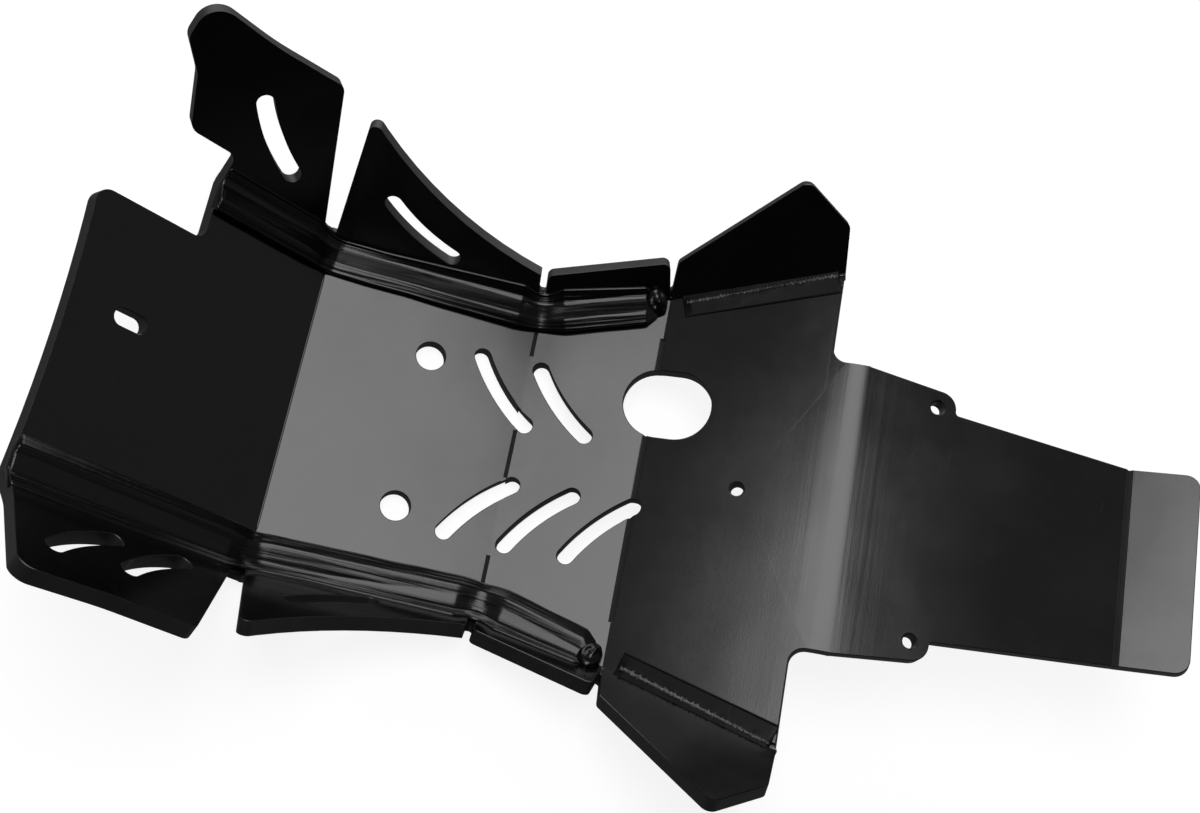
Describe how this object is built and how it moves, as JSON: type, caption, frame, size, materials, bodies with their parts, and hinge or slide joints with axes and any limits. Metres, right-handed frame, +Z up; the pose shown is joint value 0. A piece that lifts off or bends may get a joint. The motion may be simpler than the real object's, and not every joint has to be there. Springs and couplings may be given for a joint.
{
  "type": "motorcycle skid plate",
  "caption": "Thick folded plastic guard that shields an engine from below, a trough with slotted side wings, welded folds, vent slots and a narrow tail with a turned-up lip",
  "frame": {"origin": "Halfway between the two holes in the floor, on its inner face", "axes": "+X to the tail, +Y to the side with the bitten front corner and the oval opening, +Z up and into the trough"},
  "size_m": [0.5995, 0.3446, 0.1394],
  "materials": {
    "sheet": "satin"
  },
  "bodies": {
    "root": {"skid_plate": "sheet"}
  },
  "joints": []
}
